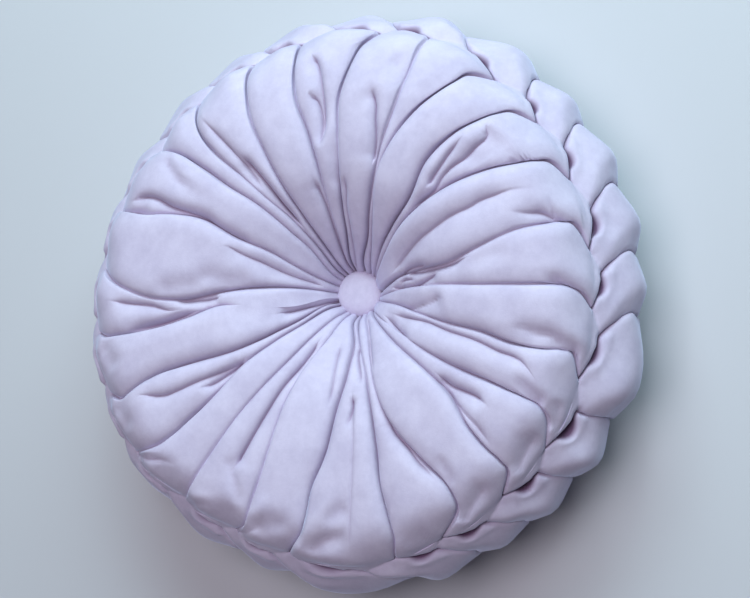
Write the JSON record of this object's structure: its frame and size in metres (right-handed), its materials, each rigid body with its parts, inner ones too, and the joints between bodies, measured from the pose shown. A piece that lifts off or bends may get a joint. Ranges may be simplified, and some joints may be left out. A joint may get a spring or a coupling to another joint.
{
  "type": "round pillow",
  "caption": "Round velvet cushion with pleated faces that gather to covered buttons, and a plaited band round its side.",
  "frame": {"origin": "under the middle of the cushion, on the surface on which its back rests", "axes": "+Z out of the front face, through the thickness; +Y towards the edge that is uppermost in the picture"},
  "size_m": [0.4006, 0.3997, 0.1327],
  "materials": {
    "velvet": "pale lilac velvet",
    "button_velvet": "pale lilac velvet pulled over a button"
  },
  "bodies": {
    "root": {"cushion": "velvet", "front_button": "button_velvet", "back_button": "button_velvet"}
  },
  "joints": []
}
